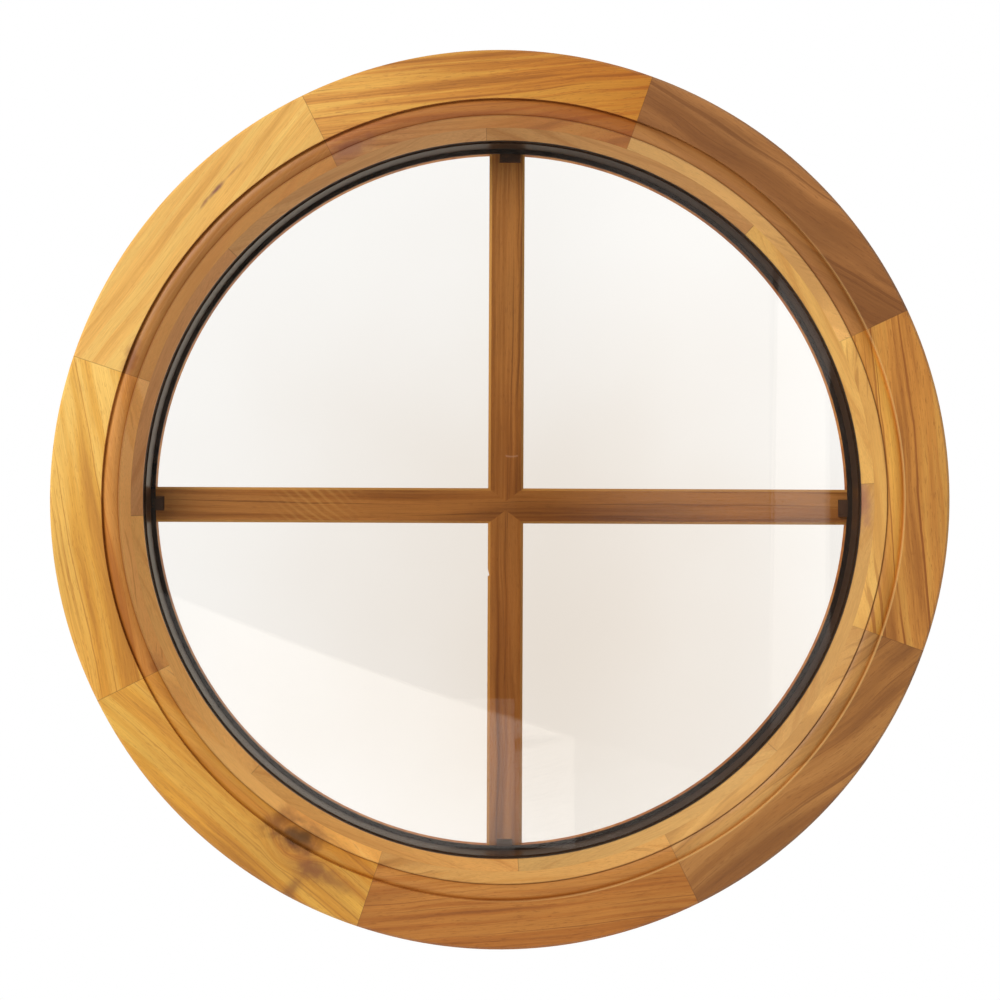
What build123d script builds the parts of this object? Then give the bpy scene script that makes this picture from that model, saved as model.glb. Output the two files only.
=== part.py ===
from build123d import *
import math
import os

# Round fixed window in its laminated hardwood frame, upright in the XZ plane.
# The front faces -Y. Radii are measured from an axis along Y, and are worked out
# from the rim inwards, by widths. Depths run back from the front face of the frame.
# Angles turn from +X towards +Z.
# All sizes are in millimetres and degrees.

# Frame ring
rim_radius = 300.0
frame_depth = 66.0
rim_arris = 2.0
moulding_offset = 2.1         # the mouldings were turned this far to the right of the rim's centre
blank_allowance = 5.0         # wood left round the segments until they are trimmed to the rim

# Two laminations of eight segments, with the joints of one between those of the other.
# The joints are listed clockwise, from the left end of the segment at the top.
front_thickness = 13.0
front_joint_angles = (116.4, 70.5, 25.1, -19.8, -64.1, -108.9, -153.6, -198.5)
rear_segment_count = 8
rear_joint_angle = 92.5

# Moulding of the front face: a flat, a low bead between two quirks, and a splay
flat_width = 32.5
bead_width = 10.7
bead_rise = 1.9
bead_facets = 3               # straight cuts that make up the round of the bead
bead_foot_depth = 2.6
quirk_width = 0.6
quirk_rise = 0.9
upper_splay_width = 5.4       # from the bead down to the glue line between the laminations
lower_splay_width = 6.2       # from the glue line down to the stop

# Glazing rebate, cut from the back
stop_width = 13.9
stop_land = 2.5               # upright edge of the stop, between the splay and the glass
rebate_depth = 23.0

# Sealed double glazed unit between two bedding tapes
glass_edge_clearance = 3.0
pane_thickness = 4.0
pane_gap = 16.0
spacer_width = 11.5           # the outer sealant is one solid with the spacer that carries it
tape_thickness = 2.0
front_tape_width = 11.1
rear_tape_width = 13.6

# Packers between the edge of the unit and the rebate
packer_length = 34.0
packer_side_margin = 1.5
setting_block_angles = {"left": 240.0, "right": 300.0}
location_block_angles = {"left": 120.0, "right": 60.0}

# Glazing beads that hold the unit from behind
glazing_bead_width = 16.3
glazing_bead_thickness = 14.0
glazing_bead_arc = 90.0
glazing_bead_splay_width = 6.0
glazing_bead_splay_depth = 6.0

# Cross behind the glass: one bar across, with a pointed bar let into it above and below
bar_width = 24.6
bar_thickness = 12.0
bar_chamfer = 1.8
point_depth = 9.2
cross_shift = 3.1             # to the right of the mouldings' centre
cross_drop = 4.3              # below it
cross_turn = 0.25             # clockwise, seen from the front
chip_distance = 44.6          # of the chipped edge on the lower bar, from the cross's centre
chip_run = 4.5
chip_step = 0.6
chip_depth = 1.1

# Cushioning pads between bar ends and glass: direction, width, reach inside the tape, sideways shift
bar_pads = {
    "right": (0.0, 11.9, 6.4, -0.7),
    "top": (90.0, 14.6, 6.2, -1.9),
    "left": (180.0, 9.8, 6.1, -0.7),
    "bottom": (270.0, 10.5, 4.6, 0.0),
}
pad_overrun = 4.0             # drawn past the tape's edge before it is cut there

# Worked out from the sizes above
mid_plane = frame_depth / 2
blank_radius = rim_radius + moulding_offset + blank_allowance
flat_inner_radius = rim_radius - flat_width
splay_outer_radius = flat_inner_radius - bead_width - quirk_width
splay_glue_radius = splay_outer_radius - upper_splay_width
stop_radius = splay_glue_radius - lower_splay_width
rebate_radius = stop_radius + stop_width
glass_radius = rebate_radius - glass_edge_clearance
spacer_radius = glass_radius - spacer_width
front_tape_radius = glass_radius - front_tape_width
rear_tape_radius = glass_radius - rear_tape_width
glazing_bead_radius = rebate_radius - glazing_bead_width
front_pane_depth = rebate_depth + tape_thickness
gap_depth = front_pane_depth + pane_thickness
rear_pane_depth = gap_depth + pane_gap
rear_tape_depth = rear_pane_depth + pane_thickness
bead_seat_depth = rear_tape_depth + tape_thickness
cross_x = moulding_offset + cross_shift
cross_z = -cross_drop


def at(radius, depth):
    """Point of a turned section: distance from the axis, and depth behind the front face."""
    return (radius, depth - mid_plane)


def turned(section, start=0.0, end=360.0, centre=moulding_offset):
    """Ring or arc of a section, from one angle to another, round an axis along Y."""
    solid = revolve(section, axis=Axis.Y, revolution_arc=end - start)
    return solid.rotate(Axis.Y, -end).moved(Location((centre, 0, 0)))


def plain_section(inner_radius, outer_radius, front_depth, thickness):
    """Rectangular section of a flat ring."""
    back_depth = front_depth + thickness
    return make_face(Polyline(
        at(inner_radius, front_depth),
        at(outer_radius, front_depth),
        at(outer_radius, back_depth),
        at(inner_radius, back_depth),
        close=True,
    ))


def rim_blank():
    """Disc that trims both laminations to the outside of the frame, eased at the front."""
    section = make_face(Polyline(
        at(0, 0),
        at(rim_radius - rim_arris, 0),
        at(rim_radius, rim_arris),
        at(rim_radius, frame_depth),
        at(0, frame_depth),
        close=True,
    ))
    return turned(section, centre=0.0)


def bead_points():
    """Points along the round of the bead, from its outer foot to its inner one."""
    half_width = bead_width / 2
    arc_radius = (half_width**2 + bead_rise**2) / (2 * bead_rise)
    half_angle = math.asin(half_width / arc_radius)
    centre_radius = flat_inner_radius - half_width
    centre_depth = bead_foot_depth - bead_rise + arc_radius
    points = []
    for index in range(bead_facets + 1):
        angle = half_angle * (1 - 2 * index / bead_facets)
        radius = centre_radius + arc_radius * math.sin(angle)
        points.append(at(radius, centre_depth - arc_radius * math.cos(angle)))
    return points


def front_section():
    """Front lamination: the flat, the bead between its quirks and the first half of the splay."""
    return make_face(Polyline(
        at(blank_radius, front_thickness),
        at(blank_radius, 0),
        at(flat_inner_radius, 0),
        *bead_points(),
        at(splay_outer_radius, bead_foot_depth - quirk_rise),
        at(splay_glue_radius, front_thickness),
        close=True,
    ))


def rear_section():
    """Rear lamination: the rest of the splay, the stop in front of the glass and the rebate."""
    return make_face(Polyline(
        at(blank_radius, front_thickness),
        at(splay_glue_radius, front_thickness),
        at(stop_radius, rebate_depth - stop_land),
        at(stop_radius, rebate_depth),
        at(rebate_radius, rebate_depth),
        at(rebate_radius, frame_depth),
        at(blank_radius, frame_depth),
        close=True,
    ))


def segments(section, joints, rim, stem):
    """Segments of one lamination between radial butt joints, trimmed to the rim, clockwise from the top."""
    next_joints = list(joints[1:]) + [joints[0] - 360.0]
    pieces = {}
    for number, (end, start) in enumerate(zip(joints, next_joints), start=1):
        pieces[f"{stem}_{number}"] = turned(section, start, end) & rim
    return pieces


def ring(inner_radius, outer_radius, front_depth, thickness):
    """Flat ring about the mouldings' axis."""
    return turned(plain_section(inner_radius, outer_radius, front_depth, thickness))


def pane(front_depth):
    """One round sheet of glass."""
    return ring(0, glass_radius, front_depth, pane_thickness)


def packer(angle):
    """Plastic packer bent to the edge of the unit, between the glass and the rebate."""
    half_span = math.degrees(packer_length / 2 / glass_radius)
    unit_thickness = 2 * pane_thickness + pane_gap
    section = plain_section(
        glass_radius,
        rebate_radius,
        front_pane_depth + packer_side_margin,
        unit_thickness - 2 * packer_side_margin,
    )
    return turned(section, angle - half_span, angle + half_span)


def disc(radius, front_depth, thickness):
    """Round slab about the mouldings' axis, to trim what fits inside the rebate or the tape."""
    return ring(0, radius, front_depth, thickness)


def on_cross(piece, direction):
    """A piece drawn along +X from the cross's centre, turned to its arm and set in place."""
    return piece.rotate(Axis.Y, cross_turn - direction).moved(Location((cross_x, 0, cross_z)))


def straight_bar(half_length):
    """Bar along X through the cross's centre, chamfered along its four edges."""
    middle_depth = bead_seat_depth + bar_thickness / 2
    prism = Pos(0, middle_depth - mid_plane, 0) * Box(2 * half_length, bar_thickness, bar_width)
    return chamfer(prism.edges().filter_by(Axis.X), bar_chamfer)


def through_thickness(*points):
    """Prism of a plan outline in X and Z, cut through the whole frame."""
    plan = make_face(Polyline(*[(x, 0, z) for x, z in points], close=True))
    return extrude(plan, amount=frame_depth, dir=(0, 1, 0), both=True)


def arm_outline():
    """Plan of one arm past the bar across: it ends in a point let into that bar."""
    half_width = bar_width / 2
    tip = half_width - point_depth
    return through_thickness(
        (tip, 0),
        (half_width, half_width),
        (rim_radius, half_width),
        (rim_radius, -half_width),
        (half_width, -half_width),
    )


def chip():
    """Splinter lifted from the edge of a bar: a long shallow run up to a short step."""
    edge = -bar_width / 2
    return through_thickness(
        (chip_distance, edge),
        (chip_distance + chip_run, edge + chip_depth),
        (chip_distance + chip_run + chip_step, edge),
    )


def build_bars():
    """The bar across and the two pointed bars, with their ends seated in the rebate."""
    seat = disc(rebate_radius, bead_seat_depth, bar_thickness)
    stock = straight_bar(rim_radius)
    arm = stock & arm_outline()
    chipped_arm = arm - chip()
    sockets = on_cross(arm_outline(), 90.0) + on_cross(arm_outline(), 270.0)
    return {
        "cross_bar": (on_cross(stock, 0.0) - sockets) & seat,
        "upper_bar": on_cross(arm, 90.0) & seat,
        "lower_bar": on_cross(chipped_arm, 270.0) & seat,
    }


def reach_to(radius, direction):
    """Distance from the cross's centre, along an arm, to a circle about the mouldings' axis."""
    angle = math.radians(direction - cross_turn)
    along = cross_shift * math.cos(angle) - cross_drop * math.sin(angle)
    offset = math.hypot(cross_shift, cross_drop)
    return math.sqrt(radius**2 - offset**2 + along**2) - along


def bar_pad(direction, width, reach, sideways):
    """Cushion between the end of a bar and the glass, cut off where the rear tape starts."""
    tape_edge = reach_to(rear_tape_radius, direction)
    middle_depth = rear_tape_depth + tape_thickness / 2
    block = Box(reach + pad_overrun, tape_thickness, width)
    block = Pos(tape_edge + (pad_overrun - reach) / 2, middle_depth - mid_plane, sideways) * block
    return on_cross(block, direction) & disc(rear_tape_radius, rear_tape_depth, tape_thickness)


def glazing_bead_section():
    """Section of the bead behind the glass, splayed towards the back."""
    back_depth = bead_seat_depth + glazing_bead_thickness
    return make_face(Polyline(
        at(glazing_bead_radius, bead_seat_depth),
        at(rebate_radius, bead_seat_depth),
        at(rebate_radius, back_depth),
        at(glazing_bead_radius + glazing_bead_splay_width, back_depth),
        at(glazing_bead_radius, back_depth - glazing_bead_splay_depth),
        close=True,
    ))


def build_glazing_beads():
    """The four quarters of the bead, each from one bar of the cross to the next."""
    middle_depth = bead_seat_depth + glazing_bead_thickness / 2
    slot = Pos(0, middle_depth - mid_plane, 0)
    slot = slot * Box(2 * rim_radius, glazing_bead_thickness, bar_width)
    slots = on_cross(slot, 0.0) + on_cross(slot, 90.0)
    pieces = {}
    for quarter, corner in enumerate(("upper_right", "upper_left", "lower_left", "lower_right")):
        start = glazing_bead_arc * quarter
        arc = turned(glazing_bead_section(), start, start + glazing_bead_arc)
        pieces[f"glazing_bead_{corner}"] = arc - slots
    return pieces


def build_frame():
    """Both laminations of the frame."""
    rim = rim_blank()
    step = 360.0 / rear_segment_count
    rear_joint_angles = [rear_joint_angle - step * index for index in range(rear_segment_count)]
    pieces = segments(front_section(), front_joint_angles, rim, "front_segment")
    pieces.update(segments(rear_section(), rear_joint_angles, rim, "rear_segment"))
    return pieces


def build_glazing():
    """The sealed unit, its bedding tapes and its packers."""
    pieces = {
        "front_pane": pane(front_pane_depth),
        "rear_pane": pane(rear_pane_depth),
        "spacer_bar": ring(spacer_radius, glass_radius, gap_depth, pane_gap),
        "front_tape": ring(front_tape_radius, glass_radius, rebate_depth, tape_thickness),
        "rear_tape": ring(rear_tape_radius, glass_radius, rear_tape_depth, tape_thickness),
    }
    for side, angle in setting_block_angles.items():
        pieces[f"setting_block_{side}"] = packer(angle)
    for side, angle in location_block_angles.items():
        pieces[f"location_block_{side}"] = packer(angle)
    return pieces


def main():
    """Builds every piece and writes one STEP file for each."""
    os.makedirs("parts", exist_ok=True)
    pieces = {}
    pieces.update(build_frame())
    pieces.update(build_glazing())
    pieces.update(build_bars())
    for side, (direction, width, reach, sideways) in bar_pads.items():
        pieces[f"bar_pad_{side}"] = bar_pad(direction, width, reach, sideways)
    pieces.update(build_glazing_beads())
    for name, piece in pieces.items():
        export_step(piece, f"parts/{name}.step")
        print(f"{name}: {piece.volume:.0f} cubic millimetres")


main()
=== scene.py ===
import bmesh
import bpy
import logging
import math
from dataclasses import dataclass
from enum import Enum
from functools import cached_property
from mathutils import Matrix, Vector


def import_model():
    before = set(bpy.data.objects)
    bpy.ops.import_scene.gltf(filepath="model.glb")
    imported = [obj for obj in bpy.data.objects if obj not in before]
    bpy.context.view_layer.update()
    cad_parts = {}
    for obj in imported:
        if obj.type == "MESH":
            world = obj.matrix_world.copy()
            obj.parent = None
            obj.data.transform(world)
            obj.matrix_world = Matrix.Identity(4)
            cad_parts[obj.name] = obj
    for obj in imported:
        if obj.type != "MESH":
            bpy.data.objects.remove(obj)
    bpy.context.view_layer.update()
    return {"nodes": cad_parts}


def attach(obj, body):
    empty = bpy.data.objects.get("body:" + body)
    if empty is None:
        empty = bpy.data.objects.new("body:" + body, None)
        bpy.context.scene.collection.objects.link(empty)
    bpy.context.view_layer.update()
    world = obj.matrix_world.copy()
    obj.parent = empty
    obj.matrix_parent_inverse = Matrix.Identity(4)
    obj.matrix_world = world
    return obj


# Round hardwood window, seen straight from the front, which faces -Y. The scene is in metres.
# The window's own classes hold their sizes in mm.

logging.basicConfig(level=logging.INFO, format="%(message)s")
log = logging.getLogger("round_window")

Colour = tuple[float, float, float]
Rgba = tuple[float, float, float, float]
Way = tuple[float, float, float]  # direction or place in the shared frame
Socket = bpy.types.NodeSocket
Material = bpy.types.Material
Piece = bpy.types.Object
Nodes = dict[str, Piece]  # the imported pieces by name

MM = 0.001
FRONT_Y = -33 * MM  # the frame's front face
MOULDING_X = 2.1 * MM  # the mouldings' axis lies this far right of the rim's centre
CROSS_X = 5.2 * MM  # the cross's centre, from the rim's
CROSS_Z = -4.3 * MM
WHITE = (1.0, 1.0, 1.0, 1.0)
RIGHT: Way = (1, 0, 0)
BACK: Way = (0, 1, 0)
UP: Way = (0, 0, 1)


class Side(Enum):
    """Which lamination of the ring a segment belongs to."""

    FRONT = "front"
    REAR = "rear"


def linear(colour: Colour) -> Rgba:
    """Screen colour to scene colour.

    Args:
        colour: Red, green and blue as a screen shows them, from 0 to 255.

    Returns:
        The same colour in linear light, with an alpha of 1.
    """
    parts = [c / 255 for c in colour]
    light = (c / 12.92 if c <= 0.04045 else ((c + 0.055) / 1.055) ** 2.4 for c in parts)
    return (*light, 1.0)


def ways(angle: float) -> tuple[Way, Way]:
    """Directions along and across a line on the front.

    Args:
        angle: The line's turn, in degrees from +X towards +Z.

    Returns:
        The direction along the line and the one across it.
    """
    turn = math.radians(angle)
    cos, sin = math.cos(turn), math.sin(turn)
    return (cos, 0, sin), (-sin, 0, cos)


@dataclass(frozen=True)
class Layer:
    """One random layer of a finish."""

    stretch: Way  # patches for each metre along each direction
    detail: float = 2.0  # how many finer layers it has
    roughness: float = 0.5  # how strong those layers are
    low: float = 0.0  # value at which it starts to show
    high: float = 1.0  # value at which it shows in full


# Layers that all boards share. Their directions are along, through and across the grain.
STRAY = Layer((5, 9, 11))
WAVER = Layer((28, 40, 60))
BROAD = Layer((3, 10, 32), low=0.48, high=0.62)
LINES = Layer((2.5, 25, 230), roughness=0.6, low=0.62, high=0.7)
SHARP = Layer((3.5, 50, 520), detail=1.0, low=0.65, high=0.71)
DRIFT = Layer((9, 9, 26))
FIBRES = Layer((45, 1300, 1500))
PORES = Layer((170, 1500, 1900), detail=1.0, low=0.6, high=0.7)
RAGGED = Layer((130, 130, 130), detail=3.0)

PALE_TO_BODY = (0.42, 0.56)  # values of the bands between which the body colour takes over
BODY_TO_DARK = (0.54, 0.68)
SEED_ALONG = 1.7  # metres along the log for each step of the seed
SEED_ACROSS = 0.31  # and across it


class Graph:
    """Node tree of one finish, with a short method for each kind of node."""

    shade: Socket | None = None  # colour of the finish while its layers are laid

    def __init__(self, tree: bpy.types.NodeTree) -> None:
        """Empties the tree."""
        self.tree = tree
        tree.nodes.clear()

    @cached_property
    def place(self) -> Socket:
        """Place on the piece, in metres of the shared frame."""
        return self.add("ShaderNodeTexCoord").outputs["Object"]

    def add(self, kind: str, inputs: dict[str, object] | None = None,
            **settings: object) -> bpy.types.Node:
        """Adds a node.

        Args:
            kind: Blender's name for the node.
            inputs: What its inputs take, by name.
            settings: Properties to set on it first.

        Returns:
            The node.
        """
        node = self.tree.nodes.new(kind)
        for name, value in settings.items():
            setattr(node, name, value)
        for name, value in (inputs or {}).items():
            self.feed(node.inputs[name], value)
        return node

    def feed(self, socket: Socket, value: object) -> None:
        """Links a socket to another, or sets its value.

        Args:
            socket: The input to feed.
            value: A node's output, or a plain value.
        """
        if isinstance(value, bpy.types.NodeSocket):
            self.tree.links.new(value, socket)
        else:
            socket.default_value = value

    def math(self, operation: str, *values: object, clamp: bool = False) -> Socket:
        """Arithmetic on numbers.

        Args:
            operation: Blender's name for the operation.
            values: Numbers or sockets.
            clamp: Whether the result is kept between 0 and 1.

        Returns:
            The result.
        """
        node = self.add("ShaderNodeMath", operation=operation, use_clamp=clamp)
        for socket, value in zip(node.inputs, values):
            self.feed(socket, value)
        return node.outputs[0]

    def times(self, first: object, second: object) -> Socket:
        """One number times another."""
        return self.math("MULTIPLY", first, second)

    def minus(self, first: object, second: object) -> Socket:
        """One number less another."""
        return self.math("SUBTRACT", first, second)

    def scale(self, value: object, factor: object, start: object) -> Socket:
        """A number times a factor, on top of another."""
        return self.math("MULTIPLY_ADD", value, factor, start)

    def dot(self, vector: Socket, direction: Way) -> Socket:
        """Length of a vector along a direction.

        Args:
            vector: The vector.
            direction: The direction. The result grows with its length.

        Returns:
            The length.
        """
        node = self.add("ShaderNodeVectorMath", operation="DOT_PRODUCT")
        self.feed(node.inputs[0], vector)
        node.inputs[1].default_value = direction
        return node.outputs["Value"]

    def along(self, way: Way) -> Socket:
        """How far along a direction the place on the piece lies, in metres."""
        return self.dot(self.place, way)

    def join(self, x: object, y: object, z: object) -> Socket:
        """Vector from three numbers.

        Args:
            x: Its first part.
            y: Its second part.
            z: Its third part.

        Returns:
            The vector.
        """
        node = self.add("ShaderNodeCombineXYZ")
        for socket, value in zip(node.inputs, (x, y, z)):
            self.feed(socket, value)
        return node.outputs[0]

    def length(self, first: Socket, second: Socket) -> Socket:
        """Length of a vector with two parts."""
        squares = [self.times(side, side) for side in (first, second)]
        return self.math("SQRT", self.math("ADD", *squares))

    def near(self, x: float, z: float, angle: float = 0.0, flat: float = 1.0) -> Socket:
        """Distance from a point of the front.

        Args:
            x: The point's place across, in mm.
            z: The point's height, in mm.
            angle: Direction in which the distance counts once, in degrees.
            flat: How much more it counts at right angles to it.

        Returns:
            The distance in metres.
        """
        way, side = ways(angle)
        along = self.minus(self.along(way), (way[0] * x + way[2] * z) * MM)
        across = self.along((side[0] * flat, 0, side[2] * flat))
        across = self.minus(across, (side[2] * z + side[0] * x) * flat * MM)
        return self.length(along, across)

    def noise(self, vector: Socket, layer: Layer) -> Socket:
        """Soft random pattern.

        Args:
            vector: Where on the piece, in metres.
            layer: How the pattern runs.

        Returns:
            A number around 0.5.
        """
        scaled = self.add("ShaderNodeVectorMath", operation="MULTIPLY")
        self.feed(scaled.inputs[0], vector)
        scaled.inputs[1].default_value = layer.stretch
        shape = {"Scale": 1.0, "Detail": layer.detail, "Roughness": layer.roughness}
        node = self.add("ShaderNodeTexNoise", {"Vector": scaled.outputs[0], **shape})
        return node.outputs["Fac"]

    def swing(self, vector: Socket, layer: Layer) -> Socket:
        """Soft random pattern around 0."""
        return self.minus(self.noise(vector, layer), 0.5)

    def cover(self, vector: Socket, layer: Layer) -> Socket:
        """Where a layer shows, from 0 to 1."""
        return self.step(self.noise(vector, layer), layer.low, layer.high)

    def step(self, value: Socket, low: float, high: float) -> Socket:
        """Smooth step.

        Args:
            value: Number to test.
            low: Where the step starts, at 0.
            high: Where it ends, at 1.

        Returns:
            The step's height, from 0 to 1.
        """
        inputs = {"Value": value, "From Min": low, "From Max": high}
        node = self.add("ShaderNodeMapRange", inputs, interpolation_type="SMOOTHSTEP")
        return node.outputs["Result"]

    def line(self, distance: Socket, width: float) -> Socket:
        """1 on a line and 0 beyond its width."""
        size = self.math("ABSOLUTE", distance)
        return self.minus(1.0, self.step(size, 0.0, width))

    def blend(self, amount: object, first: object, second: object, way: str = "MIX") -> Socket:
        """Mixes two colours.

        Args:
            amount: How much of the second, from 0 to 1.
            first: Colour or socket.
            second: Colour or socket.
            way: Blender's name for the way they mix.

        Returns:
            The mixed colour.
        """
        inputs = {"Factor": amount, "A": first, "B": second}
        node = self.add("ShaderNodeMix", inputs, data_type="RGBA", blend_type=way)
        return node.outputs["Result"]

    def lay(self, amount: Socket, strength: float, tone: Colour) -> None:
        """Lays a tone over the colour, as strongly as the amount and the strength say."""
        self.shade = self.blend(self.times(amount, strength), self.shade, linear(tone))

    def multiply(self, colour: Socket) -> None:
        """Multiplies the colour by another."""
        self.shade = self.blend(1.0, self.shade, colour, "MULTIPLY")

    def grey(self, value: Socket) -> Socket:
        """Grey colour from a number."""
        return self.join(value, value, value)

    def bump(self, height: Socket, distance: float, strength: float = 1.0,
             normal: Socket | None = None) -> Socket:
        """Surface direction of a relief.

        Args:
            height: Height of the relief.
            distance: Metres that a height of 1 stands for.
            strength: Share of the relief that is kept.
            normal: Surface direction of a coarser relief under it.

        Returns:
            The surface direction.
        """
        inputs = {"Height": height, "Distance": distance, "Strength": strength}
        if normal is not None:
            inputs["Normal"] = normal
        return self.add("ShaderNodeBump", inputs).outputs["Normal"]

    def finish(self, shader: bpy.types.Node) -> None:
        """Shows a shader on the surface."""
        self.add("ShaderNodeOutputMaterial", {"Surface": shader.outputs[0]})


def new_graph(name: str) -> tuple[Material, Graph]:
    """Starts a finish.

    Args:
        name: Name of the material.

    Returns:
        The material, and its empty graph.
    """
    material = bpy.data.materials.new(name)
    material.use_nodes = True
    return material, Graph(material.node_tree)


@dataclass(frozen=True)
class Mark:
    """Dark mark with ragged edges, in mm on the front face."""

    x: float
    z: float
    length: float
    width: float
    angle: float
    tone: Colour
    strength: float = 0.9


@dataclass(frozen=True)
class Knot:
    """Knot that the grain bends round, in mm on the front face."""

    x: float
    z: float
    reach: float  # how far round it the grain bends
    pull: float = 0.8  # how much it bends
    ring: float = 5.5  # from one ring to the next
    waver: float = 12.0  # how far the rings stray from circles
    inner: float = 14.0  # where the stained wood round it starts to fade
    outer: float = 30.0  # where it ends
    stain: Colour = (196, 118, 44)
    stain_strength: float = 0.35
    ring_strength: float = 0.45


@dataclass(frozen=True)
class Timber:
    """Lacquered hardwood of one board."""

    name: str
    pale: Colour
    body: Colour
    dark: Colour
    bead: Colour | None = None  # body colour on the turned bead, partly the wood's tone and partly painted shade, darker on the top and left
    splay: Colour | None = None  # body colour on the splay inside it, partly the wood's tone and partly painted light, lighter on the right and bottom
    streaks: float = 0.5  # strength of the long dark lines
    figure: float = 0.3  # strength of the broad bands
    pores: float = 0.35
    band: float = 130.0  # bands for each metre across the grain
    wander: float = 5.0  # how far the grain strays, in mm
    waver: float = 1.6  # how far it wavers on the way, in mm
    mottle: float = 0.22  # how much the brightness drifts
    slope: float = 0.0  # how much brighter it grows from its middle to one end
    band_depth: float = 0.12  # bands through the board, for each one across it
    late: float = 0.55  # strength of the dark edge of each band
    fibre: float = 0.4  # strength of the fine fibres
    rag: float = 1.1  # how ragged the marks' edges are
    roughness: float = 0.42
    pore_roughness: float = 0.14
    pore_depth: float = 0.05  # in mm
    pore_relief: float = 0.6
    sheen: float = 0.3
    rim_inside: float = 290.0  # radius past which the side of the rim lies, in mm
    rim_closeness: float = 7.0  # added to 1, how many times closer the lines lie there
    knot: Knot | None = None
    marks: tuple[Mark, ...] = ()

    def grain(self, graph: Graph, angle: float, seed: float) -> Socket:
        """Place in the board.

        Args:
            graph: Graph of the finish.
            angle: Direction of the grain, in degrees from +X towards +Z.
            seed: Where in the log the board was cut.

        Returns:
            The place along, through and across the grain.
        """
        way, side = ways(angle)
        along, across = graph.along(way), graph.along(side)
        depth = graph.times(graph.along(BACK), self.rim(graph))
        free = graph.join(graph.math("ADD", along, seed), depth, across)
        # The noise swings by about a quarter each way.
        across = graph.scale(graph.swing(free, STRAY), self.wander * 4 * MM, across)
        across = graph.scale(graph.swing(free, WAVER), self.waver * MM, across)
        if self.knot is not None:
            across = self.round_knot(graph, across, side)
        along = graph.math("ADD", along, seed * SEED_ALONG)
        across = graph.math("ADD", across, seed * SEED_ACROSS)
        return graph.join(along, depth, across)

    def rim(self, graph: Graph) -> Socket:
        """Closes up the lines on the side of the rim.

        Args:
            graph: Graph of the finish.

        Returns:
            How many times closer they lie there than on the other faces.
        """
        facing = graph.dot(graph.add("ShaderNodeTexCoord").outputs["Normal"], BACK)
        aside = graph.math("LESS_THAN", graph.math("ABSOLUTE", facing), 0.5)
        radius = graph.length(graph.along(RIGHT), graph.along(UP))
        outside = graph.math("GREATER_THAN", radius, self.rim_inside * MM)
        on_rim = graph.times(aside, outside)
        return graph.scale(on_rim, self.rim_closeness, 1.0)

    def round_knot(self, graph: Graph, across: Socket, side: Way) -> Socket:
        """Bends the grain round the knot.

        Args:
            graph: Graph of the finish.
            across: Place across the grain.
            side: Direction across the grain.

        Returns:
            The bent place across the grain.
        """
        knot = self.knot
        centre = (side[0] * knot.x + side[2] * knot.z) * MM
        away = graph.near(knot.x, knot.z)
        pull = graph.minus(1.0, graph.step(away, 0.0, knot.reach * MM))
        offset = graph.minus(across, centre)
        offset = graph.times(offset, graph.scale(pull, -knot.pull, 1.0))
        rings = graph.times(away, pull)
        return graph.math("ADD", graph.math("ADD", offset, centre), rings)

    def colour(self, graph: Graph, grain: Socket) -> Socket:
        """Builds up the colour of the wood.

        Args:
            graph: Graph of the finish.
            grain: Place in the board.

        Returns:
            A number that is high in the pores.
        """
        through = self.band * self.band_depth
        bands = graph.noise(grain, Layer((4, through, self.band), detail=4.0, roughness=0.54))
        body = graph.step(bands, *PALE_TO_BODY)
        graph.shade = graph.blend(body, linear(self.pale), linear(self.body))
        graph.lay(graph.step(bands, *BODY_TO_DARK), self.late, self.dark)
        graph.lay(graph.cover(grain, BROAD), self.figure, self.dark)
        lines = graph.math("MAXIMUM", graph.cover(grain, LINES), graph.cover(grain, SHARP))
        graph.lay(lines, self.streaks, self.dark)
        drift = graph.scale(graph.swing(grain, DRIFT), self.mottle * 2, 1.0)
        fibres = graph.scale(graph.swing(grain, FIBRES), self.fibre, 1.0)
        graph.multiply(graph.grey(graph.times(drift, fibres)))
        pores = graph.cover(grain, PORES)
        graph.lay(pores, self.pores, self.dark)
        if self.knot is not None:
            self.stain_knot(graph)
        if self.marks:
            self.lay_marks(graph)
        return pores

    def cut(self, piece: Piece, angle: float, seed: float) -> tuple[Graph, Socket]:
        """Gives a piece this board's bare wood.

        Args:
            piece: The piece.
            angle: Direction of its grain, in degrees.
            seed: Where in the log it was cut.

        Returns:
            Graph of its finish, and a number that is high in the pores.
        """
        material, graph = new_graph(piece.name + "_wood")
        dress(piece, material)
        log.info("%s is cut from %s", piece.name, self.name)
        return graph, self.colour(graph, self.grain(graph, angle, seed))

    def stain_knot(self, graph: Graph) -> None:
        """Lays the stained wood and the rings round the knot.

        Args:
            graph: Graph of the finish.
        """
        knot = self.knot
        stray = graph.noise(graph.place, Layer((50, 50, 50)))
        away = graph.scale(stray, knot.waver * MM, graph.near(knot.x, knot.z))
        turns = graph.times(away, 2 * math.pi / (knot.ring * MM))
        halo = graph.minus(1.0, graph.step(away, knot.inner * MM, knot.outer * MM))
        ring = graph.times(graph.step(graph.math("SINE", turns), 0.0, 1.0), halo)
        graph.lay(halo, knot.stain_strength, knot.stain)
        graph.lay(ring, knot.ring_strength, self.dark)

    def lay_marks(self, graph: Graph) -> None:
        """Lays the dark marks over the wood.

        Args:
            graph: Graph of the finish.
        """
        ragged = graph.swing(graph.place, RAGGED)
        for mark in self.marks:
            flat = mark.length / mark.width
            away = graph.near(mark.x, mark.z, mark.angle, flat)
            away = graph.scale(ragged, mark.length * self.rag * MM, away)
            ink = graph.minus(1.0, graph.step(away, 0.0, mark.length * MM))
            graph.lay(ink, mark.strength, mark.tone)

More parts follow.
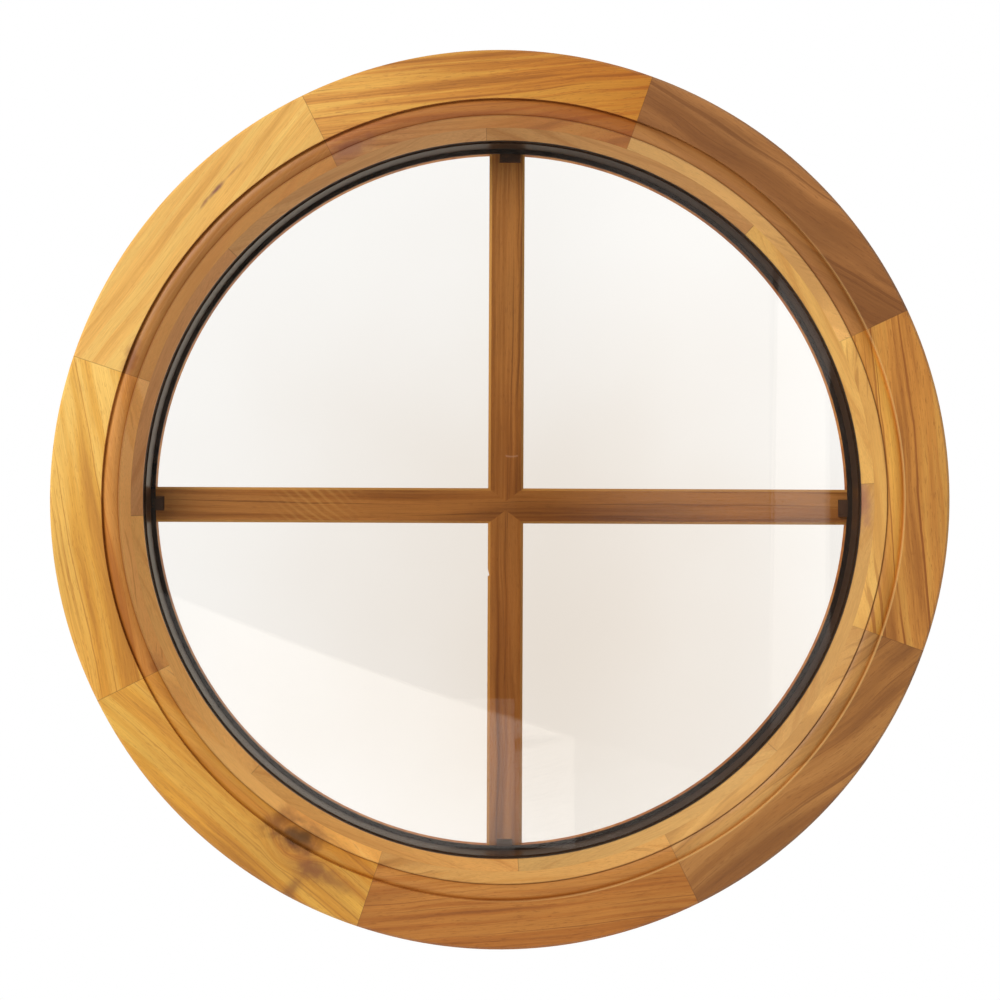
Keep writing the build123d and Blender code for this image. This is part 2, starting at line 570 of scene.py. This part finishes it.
    def gain(self, tone: Colour | None) -> Rgba:
        """How much a zone's colour differs from the body's.

        Args:
            tone: Body colour in the zone, or None where it is the body's own.

        Returns:
            The colour to multiply the wood by.
        """
        if tone is None:
            return WHITE
        return tuple(part / whole for part, whole in zip(linear(tone), linear(self.body)))

    def lacquer(self, graph: Graph, pores: Socket, relief: Socket | None = None) -> None:
        """Shows the wood under its satin lacquer.

        Args:
            graph: Graph of the finish.
            pores: High in the pores.
            relief: Surface direction of the turned profile, if it has one.
        """
        holes = graph.times(pores, -1.0)
        graph.finish(graph.add("ShaderNodeBsdfPrincipled", {
            "Base Color": graph.shade,
            "Roughness": graph.scale(pores, self.pore_roughness, self.roughness),
            "Specular IOR Level": self.sheen,
            "Normal": graph.bump(holes, self.pore_depth * MM, self.pore_relief, relief),
        }))


@dataclass
class Ring:
    """The frame: two laminations of eight segments, with the moulding turned across both."""

    flat_inner: float = 267.5
    bead_inner: float = 256.8
    bead_facets: int = 3  # straight cuts that the solids make the turned bead of
    bead_sag: float = 0.217  # how far a round bead stands over each cut
    arris: float = 0.6  # width of the eased edge of the flat
    arris_fall: float = 0.13
    quirk_width: float = 0.7
    quirk_inset: float = 0.6  # how far inside the flat's edge the outer quirk lies
    quirk_shade_least: float = 0.2  # how much of the quirk's painted shade is left where it breaks up
    inner_inset: float = 0.2  # how far inside the bead's edge the inner quirk lies
    inner_width: float = 1.05
    # painted shade in the quirks, where the grooves fall dark
    quirk_shade_strength: float = 0.6
    quirk_shade_tone: Colour = (104, 54, 22)
    crest_width: float = 0.9  # painted highlight on the edge beside the quirk, lower right
    crest_outset: float = 0.1
    crest_way: Way = (2.4, 0, -1.2)
    crest_highlight_strength: float = 0.6
    crest_highlight_tone: Colour = (226, 180, 112)
    calm: float = 0.16  # how much plainer the wood is on the bead, and again on the splay
    board_reach: float = 107.0  # from a board's middle to its end
    joint_width: float = 0.45
    joint_strength: float = 0.5
    joint_tone: Colour = (96, 58, 30)
    step_angle: float = 45.0  # from one joint of the rear lamination to the next
    sheen_patch_segment: int = 3  # the rear segment with the painted reflection, a purplish sheen beside the glass
    sheen_patch: tuple[Mark, ...] = (Mark(246, -2, 26, 7, 92, (150, 100, 84), 0.8),)
    front_joints: tuple[float, ...] = (116.4, 70.5, 25.1, -19.8, -64.1, -108.9, -153.6, -198.5)
    front_leans: tuple[float, ...] = (2, 10, 4, -9, 2, 0, 7, 3)  # from each chord to the grain
    front_seeds: tuple[float, ...] = (1.3, 2.1, 3.7, 14.4, 5.9, 6.2, 7.6, 8.8)
    rear_joint: float = 92.5
    rear_pale: float = 1.02  # pale and dark tones of the rear boards, as shares of the body's
    rear_dark: Colour = (0.9, 0.82, 0.74)
    rear_seed: float = 11.3
    rear_seed_step: float = 1.9
    front: tuple[Timber, ...] = (
        Timber("top board", (218, 156, 66), (203, 133, 53), (144, 82, 32),
               bead=(167, 97, 41), splay=(200, 132, 70),
               streaks=0.45, figure=0.1, band=210, wander=3, mottle=0.12, slope=0.34,
               marks=(Mark(-101, 235, 26, 8, 22.6, (156, 98, 56), 0.85),)),
        Timber("upper right board", (180, 121, 66), (160, 104, 54), (120, 71, 34),
               bead=(176, 117, 58), splay=(222, 168, 96),
               streaks=0.6, figure=0.45, band=80, wander=9, slope=0.06),
        Timber("right board", (213, 151, 68), (203, 135, 58), (140, 76, 26),
               bead=(220, 152, 62), splay=(230, 176, 92),
               streaks=0.85, figure=0.45, band=110, wander=4),
        Timber("lower right board", (184, 126, 64), (168, 110, 52), (124, 74, 34),
               bead=(193, 137, 71), splay=(207, 155, 85),
               streaks=0.7, figure=0.5, band=80, wander=6),
        Timber("bottom board", (190, 122, 49), (177, 106, 37), (125, 66, 20),
               bead=(186, 116, 46), splay=(210, 149, 75),
               streaks=0.55, figure=0.35, band=200, wander=3),
        Timber("lower left board", (236, 180, 76), (222, 157, 56), (166, 101, 38),
               bead=(212, 143, 50), splay=(254, 184, 90),
               streaks=0.5, figure=0.35, band=90, wander=3, slope=-0.08, knot=Knot(-135, -225, 26),
               marks=(Mark(-148, -214, 20, 11, 25, (122, 66, 30), 0.8),
                      Mark(-126.5, -246, 19, 11, -20, (128, 76, 46), 0.8),
                      Mark(-138, -259, 19, 8, 52, (136, 84, 44), 0.7),
                      Mark(-112, -253, 27, 8, -26, (146, 90, 46), 0.65),
                      Mark(-130, -235, 20, 10, 70, (150, 88, 44), 0.5),
                      Mark(-134, -225, 26, 15, -12, (104, 56, 28), 0.9),
                      Mark(-133.5, -224, 16, 9, -12, (52, 28, 18), 1.0))),
        Timber("left board", (235, 182, 88), (222, 161, 65), (176, 110, 40),
               bead=(196, 124, 48), splay=(236, 162, 78),
               streaks=0.55, figure=0.2, band=90, wander=5, slope=-0.2,
               marks=(Mark(-229, -112, 18, 6, 297, (150, 88, 44), 0.6),)),
        Timber("upper left board", (234, 188, 102), (232, 178, 93), (204, 145, 66),
               bead=(174, 112, 50), splay=(224, 154, 80),
               streaks=0.5, figure=0.2, band=110, wander=4,
               marks=(Mark(-246, 94, 22, 6, 69, (168, 110, 62), 0.85),
                      Mark(-189, 206, 13, 2.0, 48, (126, 78, 72), 0.9),
                      Mark(-197, 197, 9, 1.6, 56, (150, 98, 66), 0.7),
                      Mark(-178, 218, 12, 1.2, 46, (176, 120, 70), 0.6))),
    )
    rear: tuple[Colour, ...] = ((190, 138, 80), (216, 166, 88), (196, 148, 82), (200, 154, 88),
                                (213, 154, 82), (228, 167, 92), (200, 141, 86), (204, 151, 94))

    def relief(self, graph: Graph) -> tuple[Socket, Socket, Socket]:
        """Turned profile of the front, as far as the solids leave it square, and the shade painted
        into its quirks.

        Args:
            graph: Graph of the finish.

        Returns:
            The surface direction, how much painted shade lies in a quirk at the place, and its
            radius in mm.
        """
        x = graph.minus(graph.along(RIGHT), MOULDING_X)
        radius = graph.math("DIVIDE", graph.length(x, graph.along(UP)), MM)
        facet = (self.flat_inner - self.bead_inner) / self.bead_facets
        inside = graph.math("DIVIDE", graph.minus(radius, self.bead_inner), facet)
        across = graph.scale(graph.math("FRACT", inside), 2.0, -1.0)
        swell = graph.minus(1.0, graph.times(across, across))
        past_edge = graph.math("GREATER_THAN", inside, 0.0)
        on_bead = graph.times(past_edge, graph.math("LESS_THAN", inside, float(self.bead_facets)))
        swell = graph.times(graph.times(swell, self.bead_sag), on_bead)
        edge = graph.minus(self.flat_inner + self.arris, radius)
        edge = graph.math("MINIMUM", graph.math("MAXIMUM", edge, 0.0), self.arris)
        edge = graph.times(edge, self.arris_fall / self.arris)
        height = graph.minus(swell, edge)
        outer = graph.line(graph.minus(radius, self.flat_inner - self.quirk_inset), self.quirk_width)
        inner = graph.line(graph.minus(radius, self.bead_inner - self.inner_inset), self.inner_width)
        # Patches where the painted shade in the outer quirk breaks up.
        shade_patches = graph.cover(graph.place, Layer((26, 26, 26), detail=3.0, low=0.36, high=0.6))
        shade_patches = graph.scale(shade_patches, 1 - self.quirk_shade_least, self.quirk_shade_least)
        # The painted shade in the outer quirk shows on the left and fades out towards the middle.
        left = graph.math("MULTIPLY_ADD", x, -0.5 / (self.flat_inner * MM), 0.25, clamp=True)
        outer = graph.times(outer, graph.times(shade_patches, left))
        return graph.bump(height, MM), graph.math("MAXIMUM", outer, inner), radius

    def joint(self, graph: Graph, angles: tuple[float, float]) -> Socket:
        """Hairline of glue at both ends of a segment.

        Args:
            graph: Graph of the finish.
            angles: Directions of its two joints, in degrees.

        Returns:
            1 on the glue lines and 0 elsewhere.
        """
        marks = []
        for angle in angles:
            way, side = ways(angle)
            away = graph.math("ADD", graph.along(side), way[2] * MOULDING_X)
            ahead = graph.math("GREATER_THAN", graph.along(way), 0.0)
            marks.append(graph.times(graph.line(away, self.joint_width * MM), ahead))
        return graph.math("MAXIMUM", *marks)

    def tint_and_shade_moulding(self, graph: Graph, timber: Timber, radius: Socket) -> None:
        """Gives the bead and the splay their own tones, partly the wood's own and partly painted
        light and shade: darker beads on the top and left, lighter splays on the right and bottom.

        Args:
            graph: Graph of the finish.
            timber: The board's wood.
            radius: Distance from the mouldings' axis, in mm.
        """
        moulded = graph.math("LESS_THAN", radius, self.flat_inner)
        turned = graph.math("LESS_THAN", radius, self.bead_inner)
        graph.lay(graph.math("ADD", moulded, turned), self.calm, timber.body)
        # The bead's and splay's tones carry painted light and shade as well as the wood's own tone.
        gain = graph.blend(moulded, timber.gain(None), timber.gain(timber.bead))
        graph.multiply(graph.blend(turned, gain, timber.gain(timber.splay)))

    def paint_crest_highlight(self, graph: Graph, radius: Socket) -> None:
        """Paints a highlight on the edge beside the quirk, on the lower right of the ring.

        Args:
            graph: Graph of the finish.
            radius: Distance from the mouldings' axis, in mm.
        """
        edge = graph.minus(radius, self.flat_inner + self.crest_outset)
        edge = graph.line(edge, self.crest_width)
        lower_right = graph.step(graph.along(self.crest_way), 0.1, 0.6)
        graph.lay(graph.times(edge, lower_right), self.crest_highlight_strength, self.crest_highlight_tone)

    def dress_segment(self, piece: Piece, timber: Timber, lean: float, seed: float,
                      angles: tuple[float, float], side: Side) -> None:
        """Gives one segment its own board.

        Args:
            piece: The segment.
            timber: Its wood.
            lean: Angle between the grain and the segment's chord, in degrees.
            seed: Where in the log the board was cut.
            angles: Directions of its two joints, in degrees.
            side: Which lamination it belongs to.
        """
        chord = (angles[0] + angles[1]) / 2 + 90
        graph, pores = timber.cut(piece, chord + lean, seed)
        if timber.slope:
            along = graph.along(ways(chord)[0])
            light = graph.scale(along, timber.slope / (self.board_reach * MM), 1.0)
            graph.multiply(graph.join(graph.math("SQRT", light), light, graph.times(light, light)))
        graph.lay(self.joint(graph, angles), self.joint_strength, self.joint_tone)
        normal = None
        if side is Side.FRONT:
            normal, quirk, radius = self.relief(graph)
            self.tint_and_shade_moulding(graph, timber, radius)
            # Painted shade in the quirks.
            graph.lay(quirk, self.quirk_shade_strength, self.quirk_shade_tone)
            # Painted highlight beside the quirk, on the lower right.
            self.paint_crest_highlight(graph, radius)
        timber.lacquer(graph, pores, normal)

    def build(self, nodes: Nodes) -> None:
        """Dresses both laminations.

        Args:
            nodes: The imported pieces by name.
        """
        ends = self.front_joints + (self.front_joints[0] - 360,)
        for index, timber in enumerate(self.front):
            piece = nodes[f"front_segment_{index + 1}"]
            angles = ends[index:index + 2]
            lean, seed = self.front_leans[index], self.front_seeds[index]
            self.dress_segment(piece, timber, lean, seed, angles, Side.FRONT)
        for index, body in enumerate(self.rear):
            start = self.rear_joint - self.step_angle * index
            piece = nodes[f"rear_segment_{index + 1}"]
            pale = tuple(part * self.rear_pale for part in body)
            dark = tuple(part * share for part, share in zip(body, self.rear_dark))
            # Painted reflection: a purplish sheen on one rear board, beside the glass.
            marks = self.sheen_patch if index + 1 == self.sheen_patch_segment else ()
            timber = Timber("reveal board", pale, body, dark, streaks=0.35, figure=0.15, band=150,
                            wander=3, mottle=0.1, marks=marks)
            angles = (start, start - self.step_angle)
            seed = self.rear_seed + self.rear_seed_step * index
            self.dress_segment(piece, timber, 0, seed, angles, Side.REAR)


@dataclass
class Cross:
    """The three bars behind the glass, and the glazing beads that hold the unit."""

    bar: Timber = Timber("bar stock", (184, 122, 58), (166, 104, 44), (116, 66, 26),
                         streaks=0.6, figure=0.45, band=230, wander=3)
    bead: Timber = Timber("bead stock", (220, 146, 74), (206, 126, 58), (152, 88, 42),
                          streaks=0.3, figure=0.3, band=200)
    filler: Timber = Timber("filler stock", (150, 98, 52), (132, 84, 44), (100, 62, 32), pores=0.1)
    turn: float = -0.25  # the cross's turn, in degrees
    bar_seeds: tuple[float, ...] = (21.4, 22.9, 24.3)  # the through, upper and lower bar's
    bead_seed: float = 31.2
    filler_seed: float = 41.0
    quarters: tuple[str, ...] = ("upper_right", "upper_left", "lower_left", "lower_right")
    chamfer_from: float = 10.3  # from the bar's middle
    chamfer_fade: float = 0.7
    chamfer_highlight_strength: float = 0.6
    # pale tone: painted highlight on the bars' chamfers, and the tone of the cross figure on the
    # through bar
    chamfer_highlight_and_figure: Colour = (222, 168, 90)
    ripple_middle: float = -128.0
    ripple_reach: float = 42.0
    ripple_spacing: float = 4.6
    ripple_warp: float = 7.0
    ripple_strength: float = 0.3
    scuff_left: float = 3.9  # the pale scuff on the upper bar
    scuff_right: float = 14.8
    scuff_height: float = 30.2
    scuff_bow: float = 0.03
    scuff_strength: float = 0.6
    scuff_behind: float = 19.0  # it is only in front of this depth
    scuff_tone: Colour = (206, 160, 128)
    filler_circle: float = 253.5
    filler_depth: float = 32.0  # the glazing beads' back
    filler_radius: float = 1.1
    filler_height: float = 0.2
    filler_sides: int = 16
    filler_angles: tuple[float, ...] = (14, 38, 62, 80)

    def scuff(self, graph: Graph) -> None:
        """Lays the pale scuff over the upper bar.

        Args:
            graph: Graph of the finish.
        """
        x, y, z = (graph.along(way) for way in (RIGHT, BACK, UP))
        middle = (self.scuff_left + self.scuff_right) / 2
        reach = (self.scuff_right - self.scuff_left) / 2
        aside = graph.minus(graph.math("DIVIDE", x, MM), middle)
        bow = graph.times(graph.math("POWER", aside, 2.0), self.scuff_bow)
        level = graph.minus(graph.minus(graph.math("DIVIDE", z, MM), self.scuff_height), bow)
        ends = graph.step(graph.line(aside, reach), 0.0, 0.25)
        mark = graph.times(graph.line(level, 1.0), ends)
        front = graph.math("LESS_THAN", y, self.scuff_behind * MM)
        graph.lay(graph.times(mark, front), self.scuff_strength, self.scuff_tone)

    def ripple(self, graph: Graph) -> None:
        """Lays the pale cross figure over the through bar's left arm.

        Args:
            graph: Graph of the finish.
        """
        x = graph.math("DIVIDE", graph.along(RIGHT), MM)
        warp = graph.noise(graph.place, Layer((35, 35, 35)))
        wave = graph.scale(warp, self.ripple_warp * MM, graph.along((0.6, 0, 0.8)))
        wave = graph.math("SINE", graph.times(wave, 2 * math.pi / (self.ripple_spacing * MM)))
        reach = graph.line(graph.minus(x, self.ripple_middle), self.ripple_reach)
        ripple = graph.times(graph.step(wave, -0.3, 1.0), reach)
        graph.lay(ripple, self.ripple_strength, self.chamfer_highlight_and_figure)

    def paint_chamfer_highlights(self, graph: Graph, angle: float) -> None:
        """Paints a highlight, a pale tone, over a bar's long edges.

        Args:
            graph: Graph of the finish.
            angle: Direction of the bar, in degrees.
        """
        side = ways(angle)[1]
        middle = side[2] * CROSS_Z + side[0] * CROSS_X
        aside = graph.math("ABSOLUTE", graph.minus(graph.along(side), middle))
        full = self.chamfer_from + self.chamfer_fade
        edge = graph.step(aside, self.chamfer_from * MM, full * MM)
        graph.lay(edge, self.chamfer_highlight_strength, self.chamfer_highlight_and_figure)

    def dress_board(self, piece: Piece, timber: Timber, angle: float, seed: float) -> None:
        """Gives a straight or bent strip its wood.

        Args:
            piece: The strip.
            timber: Its wood.
            angle: Direction of its grain, in degrees.
            seed: Where in the log it was cut.
        """
        graph, pores = timber.cut(piece, angle, seed)
        if piece.name.endswith("_bar"):
            self.paint_chamfer_highlights(graph, angle)
        if piece.name == "cross_bar":
            self.ripple(graph)
        if piece.name == "upper_bar":
            self.scuff(graph)
        timber.lacquer(graph, pores)

    def fillers(self, corner: str, start: float) -> Piece:
        """Makes the small wood fillers over the pins of one glazing bead.

        Args:
            corner: Which quarter of the window.
            start: Where the quarter starts, in degrees.

        Returns:
            One piece with all its fillers.
        """
        shape = bmesh.new()
        axis = Vector((MOULDING_X, self.filler_depth * MM, 0))
        for angle in self.filler_angles:
            centre = Vector(ways(start + angle)[0]) * self.filler_circle * MM + axis
            rim = []
            for index in range(self.filler_sides):
                way = Vector(ways(360 * index / self.filler_sides)[0])
                rim.append(shape.verts.new(centre + way * self.filler_radius * MM))
            top = shape.verts.new(centre + Vector((0, self.filler_height * MM, 0)))
            for first, second in zip(rim, rim[1:] + rim[:1]):
                shape.faces.new((first, top, second))
        bmesh.ops.recalc_face_normals(shape, faces=shape.faces)
        mesh = bpy.data.meshes.new(f"pin_fillers_{corner}")
        shape.to_mesh(mesh)
        shape.free()
        piece = bpy.data.objects.new(f"pin_fillers_{corner}", mesh)
        bpy.context.scene.collection.objects.link(piece)
        return piece

    def build(self, nodes: Nodes) -> None:
        """Dresses the bars and beads, and adds the fillers.

        Args:
            nodes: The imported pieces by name.
        """
        through, upper, lower = self.bar_seeds
        self.dress_board(nodes["cross_bar"], self.bar, self.turn, through)
        self.dress_board(nodes["upper_bar"], self.bar, 90 + self.turn, upper)
        self.dress_board(nodes["lower_bar"], self.bar, 90 + self.turn, lower)
        for quarter, corner in enumerate(self.quarters):
            start = 90.0 * quarter
            # The chord of a quarter lies square to its middle.
            chord = start + 45 + 90
            piece = nodes[f"glazing_bead_{corner}"]
            self.dress_board(piece, self.bead, chord, self.bead_seed + quarter)
            piece = self.fillers(corner, start)
            self.dress_board(piece, self.filler, chord, self.filler_seed + quarter)
            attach(piece, "root")


@dataclass(frozen=True)
class Rubber:
    """Black or dark rubber, foam or plastic with a fine skin."""

    name: str
    tone: Colour
    roughness: float
    cell: float  # pits for each metre
    pit: float  # depth of the pits, in mm
    mottle: float = 0.5  # how much its brightness drifts
    wear: float = 0.12  # how much its roughness drifts

    def material(self) -> Material:
        """Makes the finish.

        Returns:
            The material.
        """
        material, graph = new_graph(self.name)
        cells = graph.noise(graph.place, Layer((self.cell,) * 3, detail=4.0, roughness=0.6))
        patches = graph.noise(graph.place, Layer((22, 22, 22), detail=3.0))
        tone = graph.grey(graph.scale(patches, self.mottle, 1 - self.mottle / 2))
        graph.finish(graph.add("ShaderNodeBsdfPrincipled", {
            "Base Color": graph.blend(1.0, linear(self.tone), tone, "MULTIPLY"),
            "Roughness": graph.scale(patches, self.wear, self.roughness),
            "Normal": graph.bump(cells, self.pit * MM, 0.5),
        }))
        return material


@dataclass(frozen=True)
class Glass:
    """Clear glass, with painted shade that makes one pane a little warmer and darker towards its
    lower middle.
    """

    clear: Colour = (255, 254, 252)
    # tone of the painted shade at its middle
    warm: Colour = (237, 228, 218)
    plain: Rgba = (1.0, 0.997, 0.99, 1.0)  # what each face of the other pane lets through
    centre_x: float = 40.0  # middle of the warm patch, in mm
    centre_z: float = -105.0
    reach: float = 360.0
    cloud: float = 0.12  # how far the patch strays from a circle, in metres
    bends: float = 1.27  # coated against glare, so it mirrors less than bare glass

    def material(self, name: str, tinted: bool) -> Material:
        """Makes the finish: it mirrors as glass does and lets the rest through straight.

        Args:
            name: Name of the material.
            tinted: Whether this pane carries the painted shade, warm and darker round its lower
                middle.

        Returns:
            The material.
        """
        material, graph = new_graph(name)
        through = graph.add("ShaderNodeBsdfTransparent")
        # Painted shade: warmer and darker round the pane's lower middle.
        if tinted:
            cloud = graph.swing(graph.place, Layer((7, 7, 7)))
            away = graph.scale(cloud, self.cloud, graph.near(self.centre_x, self.centre_z))
            near = graph.minus(1.0, graph.step(away, 0.0, self.reach * MM))
            tone = graph.blend(near, linear(self.clear), linear(self.warm))
            # Light passes both faces of the pane, so each takes the root of the tint.
            half = graph.add("ShaderNodeGamma", {"Color": tone, "Gamma": 0.5})
            graph.feed(through.inputs["Color"], half.outputs[0])
        else:
            graph.feed(through.inputs["Color"], self.plain)
        shine = {"Base Color": WHITE, "Metallic": 1.0, "Roughness": 0.0}
        mirror = graph.add("ShaderNodeBsdfPrincipled", shine)
        inside = graph.add("ShaderNodeNewGeometry").outputs["Backfacing"]
        index = graph.scale(inside, 1 / self.bends - self.bends, self.bends)
        share = graph.add("ShaderNodeFresnel", {"IOR": index})
        mix = graph.add("ShaderNodeMixShader")
        for socket, node in zip(mix.inputs, (share, through, mirror)):
            graph.feed(socket, node.outputs[0])
        graph.finish(mix)
        return material


@dataclass
class SealedUnit:
    """The double glazed unit with its tapes, packers and the pads at the bars' ends."""

    glass: Glass = Glass()
    spacer: Rubber = Rubber("spacer_foam_skin", (66, 45, 30), 0.26, 400, 0.008)
    tape: Rubber = Rubber("bedding_tape_skin", (46, 33, 24), 0.6, 1400, 0.05)
    packer: Rubber = Rubber("packer_skin", (58, 62, 66), 0.45, 600, 0.02)
    pad: Rubber = Rubber("pad_skin", (78, 50, 30), 0.6, 1200, 0.08)

    def build(self, nodes: Nodes) -> None:
        """Dresses the unit.

        Args:
            nodes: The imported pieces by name.
        """
        dress(nodes["front_pane"], self.glass.material("clear_float_glass", False))
        dress(nodes["rear_pane"], self.glass.material("float_glass_with_painted_shade", True))
        for rubber, names in (
            (self.spacer, ("spacer_bar",)),
            (self.tape, ("front_tape", "rear_tape")),
            (self.packer, ("setting_block_left", "setting_block_right",
                           "location_block_left", "location_block_right")),
            (self.pad, ("bar_pad_right", "bar_pad_top", "bar_pad_left", "bar_pad_bottom")),
        ):
            material = rubber.material()
            for name in names:
                dress(nodes[name], material)


def dress(piece: Piece, material: Material) -> None:
    """Puts a finish on a piece.

    Args:
        piece: The piece.
        material: Its finish.
    """
    if piece.material_slots:
        for slot in piece.material_slots:
            slot.material = material
    else:
        piece.data.materials.append(material)
    log.info("dressed %s with %s", piece.name, material.name)


@dataclass(frozen=True)
class Card:
    """Pale card behind the camera, in slopes from the camera: across and up."""

    name: str
    outline: tuple[tuple[float, float], ...]
    strength: float
    fade: tuple[float, float]  # slopes across between which it grows to full brightness


@dataclass
class Studio:
    """Camera, lamps, floor, and the cards that the glass mirrors."""

    camera_x: float = -20.0 * MM
    camera_z: float = 0.0
    camera_away: float = 1.0  # in front of the frame's face
    view_width: float = 0.6656  # how much of the face's plane the picture takes in
    centre_x: float = 0.13 * MM
    centre_z: float = -0.2 * MM
    sensor: float = 36.0
    fill: float = 0.42  # light of the room
    back_light: float = 0.8  # light from behind the window
    key_share: float = 0.42  # light that the lamp adds on the face
    key_from: Way = (-1.0, -1.0, 0.85)
    key_away: float = 2.6
    key_size: float = 1.3
    room_dim: float = 0.92  # how much darker the glass mirrors what is behind the camera
    far_dim: float = 0.93  # and what is behind the window
    far_glow: float = 0.75  # brightness that it mirrors from the far right
    glow_tint: tuple[float, float] = (0.95, 0.84)  # its green and blue for each red
    pane_behind: float = 0.025  # the mirroring pane, behind the face
    card_y: float = -2.2
    card_tint: Rgba = (1.0, 0.97, 0.93, 1.0)
    floor_z: float = -0.8
    floor_x: float = 4.0
    floor_y: tuple[float, float] = (-5.0, 1.2)
    floor_paint: Rgba = (0.88, 0.88, 0.87, 1.0)

    def camera(self) -> None:
        """Sets up the camera at the photograph's viewing angle."""
        data = bpy.data.cameras.new("front_camera")
        data.sensor_width = self.sensor
        data.lens = self.sensor * self.camera_away / self.view_width
        data.shift_x = (self.centre_x - self.camera_x) / self.view_width
        data.shift_y = (self.centre_z - self.camera_z) / self.view_width
        camera = bpy.data.objects.new("front_camera", data)
        camera.location = (self.camera_x, FRONT_Y - self.camera_away, self.camera_z)
        camera.rotation_euler = (math.pi / 2, 0, 0)
        bpy.context.scene.collection.objects.link(camera)
        bpy.context.scene.camera = camera

    def key(self) -> None:
        """Hangs the soft lamp up to the left."""
        away = Vector(self.key_from).normalized()
        data = bpy.data.lights.new("key", "AREA")
        data.shape = "DISK"
        data.size = self.key_size
        data.energy = self.key_share * math.pi ** 2 / -away.y * self.key_away ** 2
        lamp = bpy.data.objects.new("key", data)
        lamp.location = away * self.key_away
        lamp.rotation_euler = (-away).to_track_quat("-Z", "Y").to_euler()
        lamp.visible_camera = False
        bpy.context.scene.collection.objects.link(lamp)

    def world(self) -> None:
        """Lights the room evenly, with a white backdrop and a dim corner behind the camera."""
        world = bpy.data.worlds.new("studio")
        world.use_nodes = True
        bpy.context.scene.world = world
        graph = Graph(world.node_tree)
        way = graph.add("ShaderNodeTexCoord").outputs["Generated"]
        behind = graph.step(graph.dot(way, BACK), -0.1, 0.3)
        level = graph.scale(behind, self.back_light - self.fill, self.fill)
        ahead = graph.step(graph.dot(way, (0, -1, 0)), 0.9, 0.97)
        dim = graph.times(self.fill, graph.scale(ahead, -self.room_dim, 1.0))
        dim = graph.times(dim, graph.scale(behind, -self.far_dim, 1.0))
        aside = graph.times(graph.step(graph.dot(way, RIGHT), -0.24, 0.28), self.far_glow)
        dim = graph.math("ADD", dim, graph.times(behind, aside))
        path = graph.add("ShaderNodeLightPath")
        warm = graph.join(dim, *(graph.times(dim, share) for share in self.glow_tint))
        shown = graph.blend(path.outputs["Is Glossy Ray"], graph.grey(level), warm)
        shown = graph.blend(path.outputs["Is Camera Ray"], shown, WHITE)
        background = graph.add("ShaderNodeBackground", {"Color": shown})
        graph.add("ShaderNodeOutputWorld", {"Surface": background.outputs[0]})

    def stage(self, name: str, points: list[Way], material: Material) -> Piece:
        """Adds a flat sheet to the stage.

        Args:
            name: Name of the sheet.
            points: Its corners.
            material: Its finish.

        Returns:
            The sheet.
        """
        mesh = bpy.data.meshes.new(name)
        mesh.from_pydata(points, [], [tuple(range(len(points)))])
        mesh.materials.append(material)
        sheet = bpy.data.objects.new(name, mesh)
        bpy.context.scene.collection.objects.link(sheet)
        return sheet

    def card(self, card: Card) -> None:
        """Stands a card behind the camera, which only mirroring surfaces show.

        Args:
            card: The card.
        """
        to_pane = self.camera_away + self.pane_behind
        reach = 2 * to_pane - (self.camera_away - FRONT_Y) - self.card_y
        points = [(self.camera_x + across * reach, self.card_y, self.camera_z + up * reach)
                  for across, up in card.outline]
        material, graph = new_graph(card.name)
        across = graph.minus(graph.along(RIGHT), self.camera_x)
        full = graph.step(across, card.fade[0] * reach, card.fade[1] * reach)
        light = {"Color": self.card_tint, "Strength": graph.times(full, card.strength)}
        graph.finish(graph.add("ShaderNodeEmission", light))
        sheet = self.stage(card.name, points, material)
        for sight in ("camera", "diffuse", "shadow", "transmission"):
            setattr(sheet, "visible_" + sight, False)

    def cards(self) -> None:
        """Stands the three cards whose edges show in the glass."""
        # The top edge of the low card falls to the right in a slight curve.
        slopes = [-0.26 + 0.44 * index / 16 for index in range(17)]
        top = tuple((across, -0.1374 - 0.323 * across + 0.223 * across ** 2) for across in slopes)
        side = ((0.2, -0.2), (0.24, -0.2), (0.24, 0.16), (0.206, 0.16))
        middle = ((0.03, -0.3), (0.202, -0.3), (0.202, 0.3), (0.03, 0.3))
        self.card(Card("low_card", top + ((0.18, -0.232), (-0.26, -0.232)), 2.0, (-0.26, -0.14)))
        self.card(Card("side_card", side, 1.5, (0.1, 0.2)))
        self.card(Card("middle_card", middle, 0.8, (0.04, 0.15)))

    def floor(self) -> None:
        """Lays the plain pale floor."""
        material, graph = new_graph("floor_paint")
        graph.finish(graph.add("ShaderNodeBsdfDiffuse", {"Color": self.floor_paint}))
        near, far = self.floor_y
        spots = ((-1, near), (1, near), (1, far), (-1, far))
        points = [(side * self.floor_x, y, self.floor_z) for side, y in spots]
        self.stage("floor", points, material)

    def build(self) -> None:
        """Sets up the whole studio."""
        self.camera()
        self.key()
        self.world()
        self.cards()
        self.floor()
        bpy.context.scene.view_settings.view_transform = "Standard"
        log.info("studio set up")


def main() -> None:
    """Loads the frame, dresses every piece and lights it."""
    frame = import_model()
    nodes = frame["nodes"]
    Ring().build(nodes)
    SealedUnit().build(nodes)
    Cross().build(nodes)
    Studio().build()
    log.info("dressed %d packed pieces", len(nodes))


if __name__ == "__main__":
    main()
